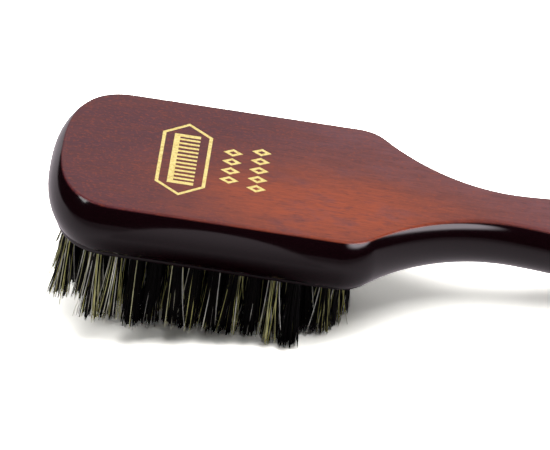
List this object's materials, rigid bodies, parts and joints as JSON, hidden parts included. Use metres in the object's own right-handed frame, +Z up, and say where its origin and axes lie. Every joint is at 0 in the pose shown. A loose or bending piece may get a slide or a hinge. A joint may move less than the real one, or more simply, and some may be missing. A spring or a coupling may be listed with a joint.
{
  "type": "barber fade brush",
  "caption": "Hand brush with a flat lacquered wooden back and handle in one piece, wire-anchored tufts of short mixed bristle, and a pressed foil emblem.",
  "frame": {"origin": "centre of the bounding box at floor level, under the middle of the brush, where the bristle tips stand", "axes": "+X along the handle away from the head, +Y across the brush, +Z up out of the flat back"},
  "size_m": [0.22, 0.0566, 0.0358],
  "materials": {
    "lacquered_wood": "satin mahogany lacquer, darker on the rounded sides",
    "bristle": "stiff black bristle with scattered blond and pale grey strands",
    "anchor_wire": "bare flat wire",
    "gold_foil": "hot-pressed foil, satin"
  },
  "bodies": {
    "root": {"wooden_body": "lacquered_wood", "tuft_row_1": "bristle", "tuft_row_2": "bristle", "tuft_row_3": "bristle", "tuft_row_4": "bristle", "tuft_row_5": "bristle", "tuft_row_6": "bristle", "tuft_row_7": "bristle", "tuft_row_8": "bristle", "tuft_row_9": "bristle", "anchor_row_1": "anchor_wire", "anchor_row_2": "anchor_wire", "anchor_row_3": "anchor_wire", "anchor_row_4": "anchor_wire", "anchor_row_5": "anchor_wire", "anchor_row_6": "anchor_wire", "anchor_row_7": "anchor_wire", "anchor_row_8": "anchor_wire", "anchor_row_9": "anchor_wire", "foil_border": "gold_foil", "foil_comb": "gold_foil", "foil_lozenges_short": "gold_foil", "foil_lozenges_long": "gold_foil"}
  },
  "joints": []
}
